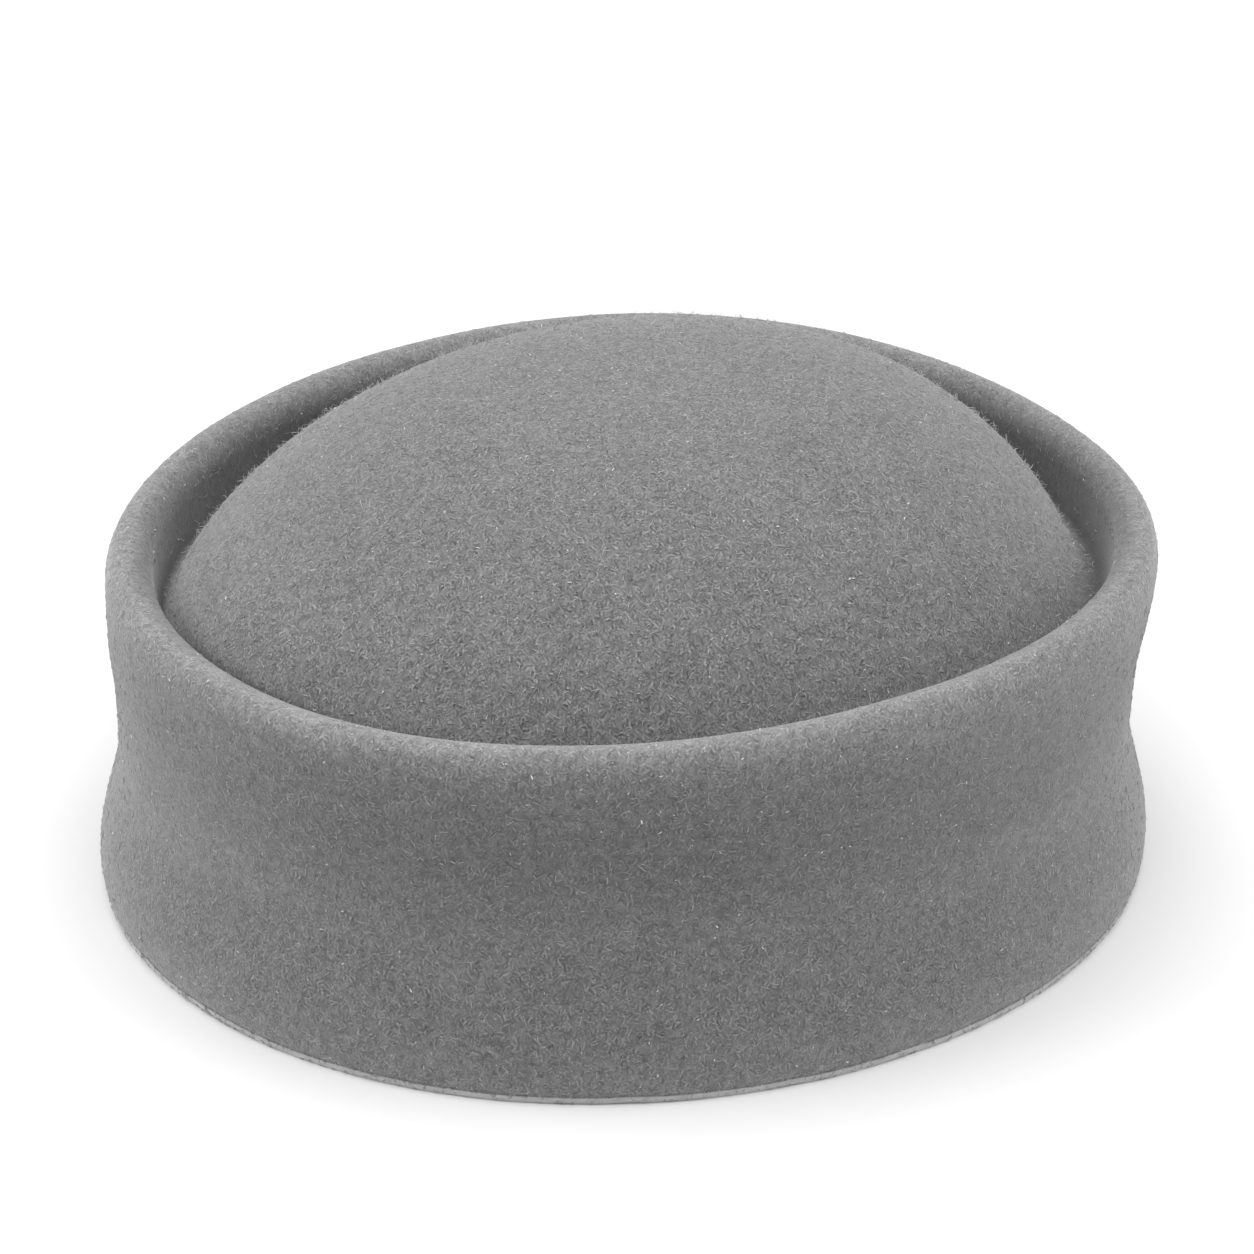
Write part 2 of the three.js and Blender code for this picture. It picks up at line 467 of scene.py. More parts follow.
# %% Trees of nodes
class Tree:
    """A node tree, of geometry or of a material, that is written as sums."""

    def __init__(self, nodes_and_links):
        self.group = nodes_and_links

    def node(self, kind, inputs=None, output=0, **settings):
        """Adds a node, sets or links its inputs, and gives one of its outputs."""
        node = self.group.nodes.new(kind)
        for name, setting in settings.items():
            setattr(node, name, setting)
        for key, value in (inputs or {}).items():
            if isinstance(value, Value):
                self.group.links.new(value.socket, node.inputs[key])
            else:
                node.inputs[key].default_value = value
        return Value(self, node.outputs[output])

    def math(self, operation, *values):
        """One Math node."""
        return self.node("ShaderNodeMath", dict(enumerate(values)), operation=operation)

    def vector(self, operation, *values):
        """One Vector Math node."""
        return self.node("ShaderNodeVectorMath", dict(enumerate(values)), operation=operation)

    def scaled(self, vector, factor):
        """A vector times a number."""
        return self.node("ShaderNodeVectorMath", {"Vector": vector, "Scale": factor}, operation="SCALE")

    def signed_power(self, value, power):
        """The power of a value's size, with the value's own sign."""
        return self.math("SIGN", value) * self.math("ABSOLUTE", value) ** power


print("every tree has:", [name for name in vars(Tree) if not name.startswith("_")])

# %% Trees of geometry and of materials
class GeometryTree(Tree):
    """A Geometry Nodes tree with named inputs and one geometry output."""

    def __init__(self, name):
        super().__init__(bpy.data.node_groups.new(name, "GeometryNodeTree"))
        self.inlet = self.group.nodes.new("NodeGroupInput")
        self.group.interface.new_socket("Geometry", in_out="OUTPUT", socket_type="NodeSocketGeometry")

    def input(self, name, kind="Float", default=None):
        """A named input of the tree."""
        socket = self.group.interface.new_socket(name, in_out="INPUT", socket_type="NodeSocket" + kind)
        if default is not None:
            socket.default_value = default
        return Value(self, self.inlet.outputs[name])

    def attribute(self, name, kind="FLOAT"):
        """A named attribute of the geometry."""
        return self.node("GeometryNodeInputNamedAttribute", {"Name": name}, data_type=kind)

    def store(self, geometry, name, value, kind="FLOAT"):
        """The geometry with a value stored on its points under a name."""
        inputs = {"Geometry": geometry, "Name": name, "Value": value}
        return self.node("GeometryNodeStoreNamedAttribute", inputs, data_type=kind, domain="POINT")

    def output(self, geometry):
        """Ends the tree."""
        outlet = self.group.nodes.new("NodeGroupOutput")
        self.group.links.new(geometry.socket, outlet.inputs["Geometry"])


class MaterialTree(Tree):
    """A material's node tree, empty at first."""

    def __init__(self, name):
        self.material = node_material(name)
        super().__init__(self.material.node_tree)

    def surface(self, shader):
        """Ends the tree."""
        output = self.group.nodes.new("ShaderNodeOutputMaterial")
        self.group.links.new(shader.socket, output.inputs["Surface"])


print("a geometry tree adds:", [name for name in vars(GeometryTree) if not name.startswith("_")])

# %% From a tree to a plain mesh
def grow(name, tree, source, inputs):
    """Runs a tree on a mesh and gives the result as a plain mesh object."""
    grown = bpy.data.objects.new(name, source)
    scene.collection.objects.link(grown)
    modifier = grown.modifiers.new(name, "NODES")
    modifier.node_group = tree.group
    items = tree.group.interface.items_tree
    sockets = {item.name: item.identifier for item in items if item.in_out == "INPUT"}
    for key, value in inputs.items():
        modifier[sockets[key]] = value
    graph = bpy.context.evaluated_depsgraph_get()
    mesh = bpy.data.meshes.new_from_object(grown.evaluated_get(graph))
    grown.modifiers.remove(modifier)
    grown.data = mesh
    mesh.name = name
    return grown


print("helpers ready")

# %% [markdown]
# ## The shell's tree
#
# The rows become the points of one line, each with its sizes as named attributes. The tree sweeps that line
# round a circle, which gives a closed grid of faces with every row's attributes on it, and then moves each
# point to where the rule puts it. A lathe couldn't do this, because the ovals change on the way up. The
# sweep also closes the hat round its back with no seam.
#
# Blocked felt is never quite true. Slow waves of a fifth of a millimetre go along the surface's normal,
# the same for both faces, and the knife's cut leaves a hem that lifts a little off the floor here and there.

# %% Line of rows with their sizes
REGIONS = ["inside", "cut", "wall", "roll", "groove", "dome"]
PLACE_SIZES = ["half_length", "half_width", "power", "taper", "shift", "out", "sway", "crest", "lift"]


def rows_mesh():
    """A line with one point a row. Its points stand apart only so that the line has a direction."""
    mesh = bpy.data.meshes.new("rows")
    points = [(0, 0, index * MM) for index in range(len(rows))]
    mesh.from_pydata(points, [(index, index + 1) for index in range(len(rows) - 1)], [])
    for size in [*PLACE_SIZES, "depth"]:
        mesh.attributes.new(size, "FLOAT", "POINT").data.foreach_set("value", [row[size] for row in rows])
    codes = [REGIONS.index(row["region"]) for row in rows]
    mesh.attributes.new("region", "FLOAT", "POINT").data.foreach_set("value", codes)
    return mesh


line_of_rows = rows_mesh()
print("attributes:", [attribute.name for attribute in line_of_rows.attributes])

# %% The rule that places a point
def placed_by_rule(tree, crest_height):
    """Where the rule puts a point, from its row's sizes and its turn round the oval."""
    half_length, half_width, power, taper, shift, out, sway, crest, lift = map(tree.attribute, PLACE_SIZES)
    turn = tree.attribute("turn")
    cosine = tree.math("COSINE", turn)
    along = tree.signed_power(cosine, 2 / power)
    across = tree.signed_power(tree.math("SINE", turn), 2 / power)
    normal_x = tree.signed_power(along, power - 1) * half_width
    normal_y = tree.signed_power(across, power - 1) * half_length
    reach = (out + sway * cosine) / tree.math("SQRT", normal_x * normal_x + normal_y * normal_y)
    height = crest_height
    for turns, rise in CREST_RISES.items():
        height = height + tree.math("COSINE", turn * turns) * rise
    return tree.node("ShaderNodeCombineXYZ", {
        "X": half_length * along + normal_x * reach + shift,
        "Y": half_width * across * (along * taper + 1) + normal_y * reach,
        "Z": crest * height + lift,
    })


print("a point is placed by", PLACE_SIZES)

# %% A soft noise
def noise(tree, size, seed, detail=2.0, vector=None, output="Fac"):
    """A soft noise whose lumps are about a size across."""
    if vector is None:
        vector = tree.node("GeometryNodeInputPosition")
    moved = tree.vector("ADD", vector, (seed, seed * 0.7, seed * 0.3))
    inputs = {"Vector": moved, "Scale": 1 / size, "Detail": detail}
    return tree.node("ShaderNodeTexNoise", inputs, output=output)


print("noise helper ready")

# %% Sweep the rows
MERGE_DISTANCE = 0.02 * MM


def swept_rows(tree, line, segments, crest_height):
    """The rows swept round a circle, with every point where the rule puts it."""
    circle = tree.node("GeometryNodeCurvePrimitiveCircle", {"Resolution": segments})
    index = tree.node("GeometryNodeInputIndex")
    circle = tree.store(circle, "turn", index * (2 * math.pi) / segments)
    profile = tree.node("GeometryNodeMeshToCurve", {"Mesh": line})
    shell = tree.node("GeometryNodeCurveToMesh", {"Curve": circle, "Profile Curve": profile})
    shell = tree.node("GeometryNodeFlipFaces", {"Mesh": shell})
    shell = tree.node("GeometryNodeSetPosition", {
        "Geometry": shell,
        "Position": placed_by_rule(tree, crest_height),
    })
    return tree.node("GeometryNodeMergeByDistance", {"Geometry": shell, "Distance": MERGE_DISTANCE})


print("points closer than", MERGE_DISTANCE / MM, "mm become one")

# %% Blocking waves and the hem
SWELL_SIZE = 35 * MM
RIPPLE_SIZE = 7 * MM
WAVER_SIZE = 9 * MM
WAVER_REACH = 6 * MM
WAVER_START = 0.44
WAVER_GAIN = 4


def waved(tree, shell, waves, ripples, waver, seed):
    """The shell with slow waves along its normal, and a hem that lifts here and there."""
    position = tree.node("GeometryNodeInputPosition")
    start = tree.vector("ADD", position, tree.node("ShaderNodeCombineXYZ", {"X": seed}))
    swell = (noise(tree, SWELL_SIZE, 1, vector=start) - 0.5) * 2 * waves
    swell = swell + (noise(tree, RIPPLE_SIZE, 2, vector=start) - 0.5) * 2 * ripples
    inner = tree.math("LESS_THAN", tree.attribute("region"), 0.5)
    normal = tree.node("GeometryNodeInputNormal")
    offset = tree.scaled(normal, swell * (1 - inner * 2))
    height = tree.node("ShaderNodeSeparateXYZ", {"Vector": position}, output="Z")
    near_hem = tree.math("MAXIMUM", 1 - height / WAVER_REACH, 0)
    lumps = tree.math("MAXIMUM", noise(tree, WAVER_SIZE, 3, 3.0, vector=start) - WAVER_START, 0)
    lumps = lumps * waver * WAVER_GAIN * near_hem
    offset = tree.vector("ADD", offset, tree.node("ShaderNodeCombineXYZ", {"Z": lumps}))
    return tree.node("GeometryNodeSetPosition", {"Geometry": shell, "Offset": offset})


def kept_above_floor(tree, shell):
    """The shell with no point below the floor."""
    moved = tree.node("GeometryNodeInputPosition")
    parts = {axis: tree.node("ShaderNodeSeparateXYZ", {"Vector": moved}, output=axis) for axis in "XYZ"}
    parts["Z"] = tree.math("MAXIMUM", parts["Z"], 0)
    on_floor = tree.node("ShaderNodeCombineXYZ", parts)
    return tree.node("GeometryNodeSetPosition", {"Geometry": shell, "Position": on_floor})


print("swells of", SWELL_SIZE / MM, "mm and ripples of", RIPPLE_SIZE / MM, "mm")

# %% The shell's tree
SEGMENTS_ROUND = 384


def felt_shell_tree():
    """The tree that makes the felt's shell from the line of rows."""
    tree = GeometryTree("felt_shell_from_rows")
    line = tree.input("Rows", "Geometry")
    segments = tree.input("Segments Round", "Int", SEGMENTS_ROUND)
    crest_height = tree.input("Crest Height", "Float", CREST_HEIGHT)
    waves = tree.input("Blocking Waves", "Float", 0)
    ripples = tree.input("Small Ripples", "Float", 0)
    waver = tree.input("Hem Waver", "Float", 0)
    seed = tree.input("Seed", "Float", 0)
    felt = tree.input("Felt", "Material")

    shell = swept_rows(tree, line, segments, crest_height)
    shell = waved(tree, shell, waves, ripples, waver, seed)
    shell = kept_above_floor(tree, shell)
    shell = tree.node("GeometryNodeSetShadeSmooth", {"Geometry": shell})
    shell = tree.node("GeometryNodeRealizeInstances", {"Geometry": shell})
    shell = tree.node("GeometryNodeSetMaterial", {"Geometry": shell, "Material": felt})
    tree.output(shell)
    return tree


shell_tree = felt_shell_tree()
print(len(shell_tree.group.nodes), "nodes in the shell's tree")

# %% [markdown]
# ## The felt's finish
#
# Wool felt has no weave. Its face is a mat of short curled strands, a millimetre or two long and a third of a
# millimetre wide, that lie side by side in small tufts and turn every way, with dark pits between them. A
# plain grey would look like plastic, and a plain noise like stone.
#
# A Gabor texture draws such a mat: it is a noise made of short trains of waves, all of one width, that run
# along a given heading. Here the heading is a second noise laid along the felt, so the waves curl as brushed
# wool does, and each crest reads as one fibre next to another. Strokes drawn one by one could do the same,
# but they need many layers before they cover the felt, and each layer costs as much as this.
#
# The texture also gives the wave's phase, which tells on which side of a fibre a spot lies. So the normal
# leans away from the crest by a plain cosine, where a Bump node would work the whole pattern out three times.
#
# Where a spot lies matters too. Light and shade are painted into the tone by place: painted light from the
# floor near the hem, on the outside of the rim, on the upward face of its crest and on the dome's foot, and
# painted shade in the groove, on the upper wall below the rim and along a line just above the cut. The cut's
# face is paler, partly its own smoother face and partly painted floor light. Each place gets a number from 0
# to 1 from the row's region, its depth in the groove and the height, so that every side of the hat carries
# the same tones. Hand painting could do it as well, but a rule stays right when a size changes.
# region, its depth in the groove and the height, so that every side of the hat carries the same tones. Hand
# painting could do it as well, but a rule stays right when a size changes.

# %% Waves of wool
WAVE_CELL = 0.95 * MM
SWIRL_SIZE = 1.0 * MM

# The part of the endless pattern that the hat gets, and a slight common direction of the strands, up the wall
WAVE_ORIGIN = (3.0, 2.1, 0.9)
BRUSHED = (0.0, 0.0, 0.06)

# The node's sixth input is the orientation that a pattern in space uses.
GABOR_ORIENTATION = 5


def noise_vector(tree, place, size, seed, detail):
    """A vector that turns slowly, about none on average."""
    colour = noise(tree, size, seed, detail, vector=place, output="Color")
    return tree.vector("SUBTRACT", colour, (0.5, 0.5, 0.5))


def wool_waves(tree, place, normal, period):
    """Curled fibres side by side: how high a spot of the felt stands, from -1 to 1, and where it leans."""
    fibre = tree.vector("ADD", noise_vector(tree, place, SWIRL_SIZE, 3.0, 1.0), BRUSHED)
    heading = tree.vector("NORMALIZE", tree.vector("CROSS_PRODUCT", normal, fibre))
    inputs = {
        "Vector": tree.vector("ADD", place, WAVE_ORIGIN),
        "Scale": 1 / WAVE_CELL,
        "Frequency": WAVE_CELL / period,
        "Anisotropy": 1.0,
        GABOR_ORIENTATION: heading,
    }
    value = tree.node("ShaderNodeTexGabor", inputs, "Value", gabor_type="3D")
    texture = value.socket.node
    turn = Value(tree, texture.outputs["Phase"]) * (2 * math.pi)
    strength = Value(tree, texture.outputs["Intensity"])
    return (value - 0.5) * 2, tree.scaled(heading, tree.math("COSINE", turn) * strength)


print("waves of", WAVE_CELL / MM, "mm trains")

# %% Where a spot of the felt lies
def band(tree, value, middle, half_width):
    """One at a middle value and nothing further from it than half a width."""
    return tree.math("MAXIMUM", 1 - tree.math("ABSOLUTE", value - middle) / half_width, 0)


def felt_places(tree, place, normal):
    """How much a spot belongs to each place on the hat, from 0 to 1."""
    region = tree.node("ShaderNodeAttribute", output="Fac", attribute_name="region")
    depth = tree.node("ShaderNodeAttribute", output="Fac", attribute_name="depth")
    upward = tree.math("MAXIMUM", tree.node("ShaderNodeSeparateXYZ", {"Vector": normal}, "Z"), 0)
    height = tree.node("ShaderNodeSeparateXYZ", {"Vector": place}, "Z") / CREST_HEIGHT
    outside = tree.math("LESS_THAN", region, REGIONS.index("roll") + 0.5)
    # The outside's painted light and shade fade out down the rim's inner face and stay off the groove's
    # painted shade.
    outside = outside * tree.math("MAXIMUM", 1 - depth * 3, 0)
    dome = tree.math("MAXIMUM", region - REGIONS.index("groove"), 0)
    # Painted light: livelier waves on top, and a paler crest, rim, hem and dome's foot. Painted shade: darker
    # groove, flare and cut line. The cut is paler partly of its own and partly by painted floor light.
    return {
        "top": upward,
        "groove": depth,
        "cut": tree.math("MINIMUM", band(tree, region, REGIONS.index("cut"), 0.9) * 3, 1),
        "cut line": band(tree, region, REGIONS.index("cut") + 0.65, 0.3),
        "crest": band(tree, region, REGIONS.index("roll"), 0.9) * upward,
        "hem": smooth(band(tree, height, 0, 0.2)) * outside,
        "flare": smooth(band(tree, height, 0.69, 0.31)) * outside,
        "rim": smooth(band(tree, height, 0.97, 0.13)) * outside,
        "foot": smooth(band(tree, height, 0.95, 0.32)) * dome,
    }


print("regions:", REGIONS)

# %% Felt material
FELT_TONE = 0.1695
FELT_LEVEL = 0.97
WAVE_PERIOD = 0.8 * MM
TUFT_SIZE = 1.5 * MM
TUFT_SHARE = 0.8
CLOUD_SIZE = 9 * MM
CLOUD_SHARE = 0.15
DARKEST = 0.2
CREST_PALER = 0.7
CREST_SMOOTHER = 0.05
CUT_CALMER = 0.7
LEAN_SHARE = 0.6

# How strongly the waves show, and what each place adds to that as a share. The livelier waves where the
# felt faces up are painted light, and the calmer waves in the groove go with its painted shade.
WAVE_SHARE = 0.92
LIVELIER = {"top": 0.33, "cut": -0.8, "crest": -0.3, "groove": -0.8}
# What each place adds to the tone as a share: painted light on the hem, the rim, the crest and the dome's
# foot, painted shade on the flare, the groove and the cut line, and the cut's paler face, partly its own tone
# and partly painted floor light.
PAINTED_LIGHT_SHADE_AND_CUT_TONE = {
    "cut": 1.5, "cut line": -0.3, "hem": 0.24, "flare": -0.2, "rim": 0.18,
    "crest": 0.28, "groove": -0.68, "foot": 0.1,
}


def with_places(tree, value, shares, places):
    """A value times one and a share for each place."""
    for name, share in shares.items():
        value = value * (places[name] * share + 1)
    return value


def felt_material():
    """The felt of both faces, with light and shade painted into its tone by place. The knife's face is
    smoother and paler, partly of its own and partly by painted floor light.
    """
    tree = MaterialTree("grey_wool_felt")
    place = tree.node("ShaderNodeTexCoord", output="Object")
    normal = tree.node("ShaderNodeTexCoord", output="Normal")
    places = felt_places(tree, place, normal)
    height, lean = wool_waves(tree, place, normal, WAVE_PERIOD)
    tufts = noise(tree, TUFT_SIZE, 0.5, 1.0, vector=place) - 0.5
    clouds = noise(tree, CLOUD_SIZE, 0.9, 0.0, vector=place) - 0.5

    # Waves painted livelier where the felt faces up, and calmer in the groove's painted shade.
    strength = with_places(tree, WAVE_SHARE, LIVELIER, places)
    mottle = tufts * (1 - places["cut"] * CUT_CALMER) * TUFT_SHARE + clouds * CLOUD_SHARE
    tone = height * (height * CREST_PALER + 1) * strength + mottle + FELT_LEVEL
    # Light and shade painted into the tone by place, and the cut's own paler face.
    tone = with_places(tree, tone, PAINTED_LIGHT_SHADE_AND_CUT_TONE, places)
    tone = tree.math("MAXIMUM", tone, DARKEST) * FELT_TONE
    colour = tree.node("ShaderNodeCombineColor", {"Red": tone, "Green": tone, "Blue": tone})
    leaning = tree.vector("NORMALIZE", tree.vector("ADD", normal, tree.scaled(lean, strength * LEAN_SHARE)))
    leaning = tree.node("ShaderNodeVectorTransform", {"Vector": leaning}, vector_type="NORMAL",
                        convert_from="OBJECT", convert_to="WORLD")
    shader = tree.node("ShaderNodeBsdfPrincipled", {
        "Base Color": colour,
        "Roughness": 0.95 - height * CREST_SMOOTHER,
        "Normal": leaning,
        "Specular IOR Level": 0.2,
        "Sheen Weight": 0.45,
        "Sheen Roughness": 0.5,
    })
    tree.surface(shader)
    return tree.material


felt = felt_material()
print("felt material has", len(felt.node_tree.nodes), "nodes")

# %% Make the felt body
felt_body = grow("felt_body", shell_tree, line_of_rows, {
    "Segments Round": SEGMENTS_ROUND,
    "Crest Height": CREST_HEIGHT,
    "Blocking Waves": 0.2 * MM,
    "Small Ripples": 0.03 * MM,
    "Hem Waver": 0.3 * MM,
    "Seed": 0.4,
    "Felt": felt,
})
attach(felt_body, "root")
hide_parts("felt_shell")
print("felt body:", len(felt_body.data.vertices), "points,", len(felt_body.data.polygons), "faces")

# %% [markdown]
# ## Loose fibres
#
# A material alone stays flat: at the dome's outline and along the rim the real felt ends in a fine fuzz. So
# the topmost fibres are made as meshes. A particle system could grow them, but its hairs are drawn only by
# the renderer, and these have to be real meshes.
#
# One tree makes every layer, in three steps. First it scatters points on one region of the felt and puts a
# short line on each, turned at random about the surface's normal.

# %% Scatter short lines
FIBRE_POINTS = 4
THICKNESS_RANGE = (0.6, 1.2)
RISE_RANGE = (0.4, 1.3)
FLOOR_GAP = 0.2 * MM


def part_of_felt(tree, first_region, last_region):
    """True on the faces of some regions, and false close to the floor."""
    region = tree.attribute("region")
    chosen = tree.math("GREATER_THAN", region, first_region - 0.5)
    chosen = chosen * tree.math("LESS_THAN", region, last_region + 0.5)
    above_floor = tree.node("ShaderNodeSeparateXYZ", {"Vector": tree.node("GeometryNodeInputPosition")}, "Z")
    return chosen * tree.math("GREATER_THAN", above_floor, FLOOR_GAP)


def random_number(tree, low, high, seed):
    """A random number for each point."""
    return tree.node("FunctionNodeRandomValue", {"Min": low, "Max": high, "Seed": seed}, 1,
                     data_type="FLOAT")


def scattered_lines(tree, felt_mesh, chosen, density, shortest, longest, seed):
    """Short lines on the felt, each with its own tone, thickness and rise."""
    scatter = tree.group.nodes.new("GeometryNodeDistributePointsOnFaces")
    for name, value in {"Mesh": felt_mesh, "Selection": chosen, "Density": density, "Seed": seed}.items():
        tree.group.links.new(value.socket, scatter.inputs[name])
    points = Value(tree, scatter.outputs["Points"])
    upright = Value(tree, scatter.outputs["Rotation"])
    points = tree.store(points, "tone", random_number(tree, 0.0, 1.0, seed + 1))
    points = tree.store(points, "thickness", random_number(tree, *THICKNESS_RANGE, seed + 2))
    points = tree.store(points, "rise", random_number(tree, *RISE_RANGE, seed + 3))
    about_normal = tree.node("FunctionNodeAxisAngleToRotation", {
        "Axis": (0, 0, 1),
        "Angle": random_number(tree, 0.0, 2 * math.pi, seed + 4),
    })
    rotation = tree.node("FunctionNodeRotateRotation", {"Rotation": upright, "Rotate By": about_normal},
                         rotation_space="LOCAL")
    length = random_number(tree, shortest, longest, seed + 5)
    line = tree.node("GeometryNodeCurvePrimitiveLine", {"Start": (-0.5, 0, 0), "End": (0.5, 0, 0)})
    line = tree.node("GeometryNodeResampleCurve", {"Curve": line, "Count": FIBRE_POINTS})
    lines = tree.node("GeometryNodeInstanceOnPoints", {
        "Points": points,
        "Instance": line,
        "Rotation": rotation,
        "Scale": tree.node("ShaderNodeCombineXYZ", {"X": length, "Y": length, "Z": length}),
    })
    return tree.node("GeometryNodeRealizeInstances", {"Geometry": lines})


print(FIBRE_POINTS, "points in a fibre")

# %% [markdown]
# Then it bends the lines with a noise, so that neighbours curl alike, and lays them back on the felt. It
# finds the nearest spot of the felt under each point and lifts the point off it by the fibre's own height
# there. An arch keeps both ends in the felt, and a stand lets one end rise out of it.

# %% Curl the lines and lay them on the felt
SUNK = 0.75


def curled(tree, fibres, curl, curl_size):
    """The lines bent by a slow noise."""
    swirl = tree.node("ShaderNodeTexNoise", {"Scale": 1 / curl_size, "Detail": 1.0}, "Color")
    swirl = tree.scaled(tree.vector("SUBTRACT", swirl, (0.5, 0.5, 0.5)), curl * 2)
    return tree.node("GeometryNodeSetPosition", {"Geometry": fibres, "Offset": swirl})


def laid_on_felt(tree, fibres, felt_mesh, height):
    """The lines laid along the felt, each point at its own height off it."""
    position = tree.node("GeometryNodeInputPosition")
    nearest = tree.node("GeometryNodeProximity", {"Geometry": felt_mesh, "Sample Position": position})
    outwards = tree.node("GeometryNodeSampleNearestSurface", {
        "Mesh": felt_mesh,
        "Value": tree.node("GeometryNodeInputNormal"),
        "Sample Position": position,
    }, data_type="FLOAT_VECTOR")
    lifted = tree.vector("ADD", nearest, tree.scaled(outwards, height))
    lifted = tree.vector("MAXIMUM", lifted, (-1.0, -1.0, FLOOR_GAP))
    return tree.node("GeometryNodeSetPosition", {"Geometry": fibres, "Position": lifted})


print("an arch starts", SUNK, "of its height under the felt's face")

# %% [markdown]
# Last, each line gets a round section of three sides that tapers to both ends, and one of three tones. A
# fibre costs only twenty triangles, so there can be thousands.

# %% Give the lines a round section and a tone
FIBRE_SIDES = 3
FIBRE_TONES = 3
TIP_SHARE = 0.35


def rounded(tree, fibres, radius, arch):
    """The lines with a round section, thinner at both ends."""
    section = tree.node("GeometryNodeCurvePrimitiveCircle", {"Resolution": FIBRE_SIDES, "Radius": 1.0})
    across = radius * tree.attribute("thickness") * (arch * (1 - TIP_SHARE) + TIP_SHARE)
    fibres = tree.node("GeometryNodeCurveToMesh", {
        "Curve": fibres,
        "Profile Curve": section,
        "Scale": across,
        "Fill Caps": True,
    })
    return tree.node("GeometryNodeSetShadeSmooth", {"Geometry": fibres})


def toned(tree, fibres, tones):
    """The fibres with one of the tones each, by chance."""
    for number, tone in enumerate(tones):
        inputs = {"Geometry": fibres, "Material": tone}
        if number:
            inputs["Selection"] = tree.math("GREATER_THAN", tree.attribute("tone"), number / FIBRE_TONES)
        fibres = tree.node("GeometryNodeSetMaterial", inputs)
    return fibres


print("a fibre has", (FIBRE_POINTS - 1) * FIBRE_SIDES * 2 + 2, "triangles")

# %% The fibres' tree
def fibre_tree():
    """Fibres scattered on some regions of the felt, lying on it or standing off it."""
    tree = GeometryTree("fibres_on_felt")
    felt_mesh = tree.input("Felt", "Geometry")
    first_region = tree.input("First Region", "Float", 0)
    last_region = tree.input("Last Region", "Float", 0)
    density = tree.input("Fibres per Square Metre", "Float", 0)
    shortest = tree.input("Shortest", "Float", 0)
    longest = tree.input("Longest", "Float", 0)
    radius = tree.input("Radius", "Float", 0)
    curl = tree.input("Curl", "Float", 0)
    curl_size = tree.input("Curl Size", "Float", 0)
    lie = tree.input("Arch Height", "Float", 0)
    stand = tree.input("Stand Height", "Float", 0)
    seed = tree.input("Seed", "Int", 0)
    tones = [tree.input(f"Tone {number + 1}", "Material") for number in range(FIBRE_TONES)]

    chosen = part_of_felt(tree, first_region, last_region)
    fibres = scattered_lines(tree, felt_mesh, chosen, density, shortest, longest, seed)
    fibres = curled(tree, fibres, curl, curl_size)
    share = tree.node("GeometryNodeSplineParameter")
    arch = share * (1 - share) * 4
    height = (lie * (arch - SUNK) + stand * share) * tree.attribute("rise")
    fibres = laid_on_felt(tree, fibres, felt_mesh, height)
    fibres = rounded(tree, fibres, radius, arch)
    fibres = tree.node("GeometryNodeRealizeInstances", {"Geometry": fibres})
    tree.output(toned(tree, fibres, tones))
    return tree


fibres_tree = fibre_tree()
print(len(fibres_tree.group.nodes), "nodes in the fibres' tree")

# %% [markdown]
# ## Tones of wool
#
# A grey felt is mixed from darker and paler wool, and a few short white hairs, called kemp, never take the
# dye. One fibre is hardly wider than a pixel, so a pattern along it would never show. Instead every fibre
# draws one of three tones by chance. Fibres that stand off the felt get paler tones, painted light for the
# light that they catch above the mat, and so do those along the cut, to go with the cut's paler face.

# %% Fibre tones
def fibre_material(name, tone, roughness):
    """Wool of one tone, even all over."""
    tree = MaterialTree(name)
    tree.surface(tree.node("ShaderNodeBsdfPrincipled", {
        "Base Color": (tone, tone, tone, 1),
        "Roughness": roughness,
        "Specular IOR Level": 0.25,
        "Sheen Weight": 0.3,
        "Sheen Roughness": 0.4,
    }))
    return tree.material


WOOL = [
    fibre_material("wool_dark", 0.2, 0.9),
    fibre_material("wool_mid", 0.26, 0.85),
    fibre_material("wool_pale", 0.36, 0.8),
]
# Paler tones for the standing nap and the cut's fibres: painted light.
LOOSE_PAINTED_PALER = [
    fibre_material("loose_mid", 0.36, 0.8),
    fibre_material("loose_pale", 0.45, 0.75),
    fibre_material("loose_light", 0.56, 0.7),
]
KEMP = [
    fibre_material("kemp_grey", 0.52, 0.6),
    fibre_material("kemp_pale", 0.66, 0.55),
    fibre_material("kemp_white", 0.8, 0.5),
]
TONES = {"hem_fibres": LOOSE_PAINTED_PALER, "low_nap": LOOSE_PAINTED_PALER, "crown_nap": LOOSE_PAINTED_PALER, "kemp_specks": KEMP}
print("tones:", [material.name for material in WOOL + LOOSE_PAINTED_PALER + KEMP])

# %% [markdown]
# ## Which fibres grow where
#
# The wall, the dome, the rim and the inside each get a layer of lying fibres. The raw edge of the hem gets
# short, thick ones, so that the cut looks lumpy and not planed. Two thin layers stand up as the nap: a low
# one on the wall and the rim, and a taller one on the dome, which makes the fuzz at its outline. The kemp is
# thick, short and rare. One table holds them all, because only their sizes differ.

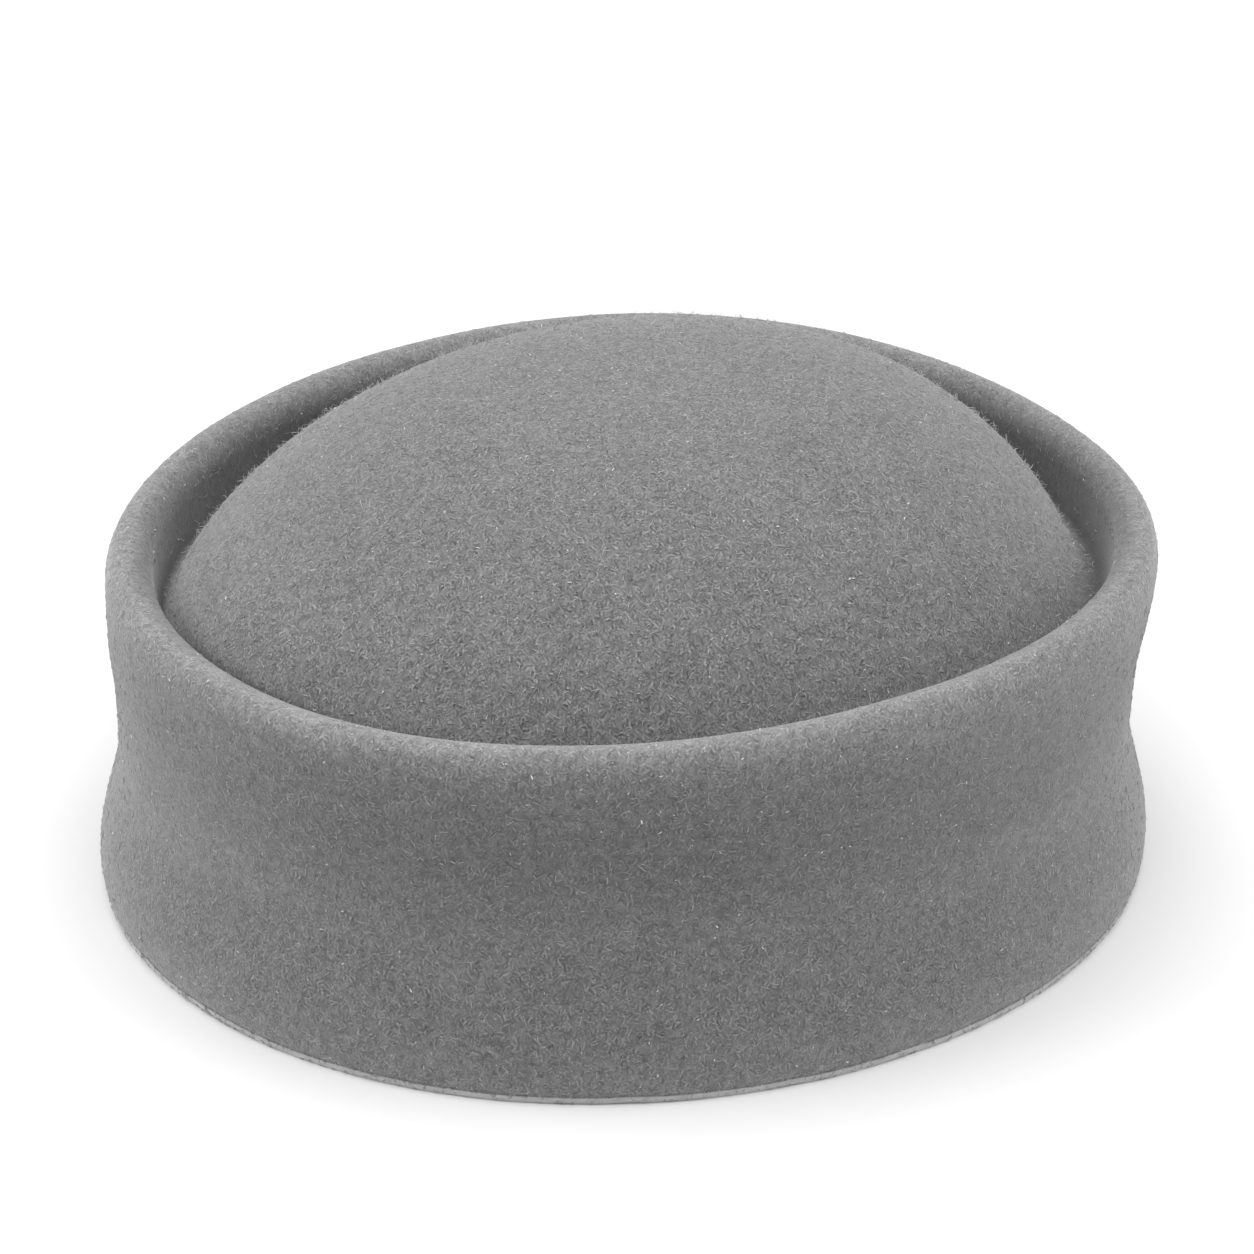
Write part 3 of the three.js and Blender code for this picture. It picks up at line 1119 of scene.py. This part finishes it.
# %% Layers of fibres
FIBRE_PIECES = {
    "wall_fibres": {"First Region": "wall", "Last Region": "wall", "Fibres per Square Metre": 2.6e5,
                    "Shortest": 1.0 * MM, "Longest": 2.2 * MM, "Radius": 0.095 * MM, "Curl": 0.45 * MM,
                    "Curl Size": 1.5 * MM, "Arch Height": 0.09 * MM, "Stand Height": 0.0, "Seed": 1},
    "crown_fibres": {"First Region": "dome", "Last Region": "dome", "Fibres per Square Metre": 3.6e5,
                     "Shortest": 1.0 * MM, "Longest": 2.2 * MM, "Radius": 0.095 * MM, "Curl": 0.45 * MM,
                     "Curl Size": 1.5 * MM, "Arch Height": 0.1 * MM, "Stand Height": 0.0, "Seed": 2},
    "rim_fibres": {"First Region": "roll", "Last Region": "roll", "Fibres per Square Metre": 3.5e5,
                   "Shortest": 0.9 * MM, "Longest": 1.8 * MM, "Radius": 0.08 * MM, "Curl": 0.45 * MM,
                   "Curl Size": 1.5 * MM, "Arch Height": 0.09 * MM, "Stand Height": 0.0, "Seed": 3},
    "inside_fibres": {"First Region": "inside", "Last Region": "inside", "Fibres per Square Metre": 0.6e5,
                      "Shortest": 1.0 * MM, "Longest": 2.2 * MM, "Radius": 0.095 * MM, "Curl": 0.45 * MM,
                      "Curl Size": 1.5 * MM, "Arch Height": 0.12 * MM, "Stand Height": 0.0, "Seed": 4},
    "hem_fibres": {"First Region": "cut", "Last Region": "cut", "Fibres per Square Metre": 1.2e6,
                   "Shortest": 0.7 * MM, "Longest": 1.4 * MM, "Radius": 0.14 * MM, "Curl": 0.3 * MM,
                   "Curl Size": 1.2 * MM, "Arch Height": 0.55 * MM, "Stand Height": 0.05 * MM, "Seed": 5},
    "low_nap": {"First Region": "wall", "Last Region": "groove", "Fibres per Square Metre": 0.7e5,
                "Shortest": 0.6 * MM, "Longest": 1.3 * MM, "Radius": 0.04 * MM, "Curl": 0.5 * MM,
                "Curl Size": 1.2 * MM, "Arch Height": 0.06 * MM, "Stand Height": 0.3 * MM, "Seed": 6},
    "crown_nap": {"First Region": "dome", "Last Region": "dome", "Fibres per Square Metre": 2.0e5,
                  "Shortest": 0.6 * MM, "Longest": 1.4 * MM, "Radius": 0.055 * MM, "Curl": 0.6 * MM,
                  "Curl Size": 1.2 * MM, "Arch Height": 0.06 * MM, "Stand Height": 0.85 * MM, "Seed": 7},
    "kemp_specks": {"First Region": "wall", "Last Region": "dome", "Fibres per Square Metre": 0.16e5,
                    "Shortest": 0.25 * MM, "Longest": 0.8 * MM, "Radius": 0.14 * MM, "Curl": 0.2 * MM,
                    "Curl Size": 1.2 * MM, "Arch Height": 0.1 * MM, "Stand Height": 0.1 * MM, "Seed": 8},
}
print(len(FIBRE_PIECES), "layers")

# %% Scatter the fibres
def scatter_fibres(name, sizes):
    """One piece of fibres, grown on the felt body."""
    inputs = {key: float(REGIONS.index(value)) if isinstance(value, str) else value
              for key, value in sizes.items()}
    inputs.update({f"Tone {number + 1}": material for number, material in enumerate(TONES.get(name, WOOL))})
    piece = grow(name, fibres_tree, felt_body.data, inputs)
    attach(piece, "root")
    triangles = sum(len(polygon.vertices) - 2 for polygon in piece.data.polygons)
    print(name, triangles, "triangles")
    return piece


for name, sizes in FIBRE_PIECES.items():
    scatter_fibres(name, sizes)

# %% [markdown]
# The looks may stand only a little outside the frame's box.
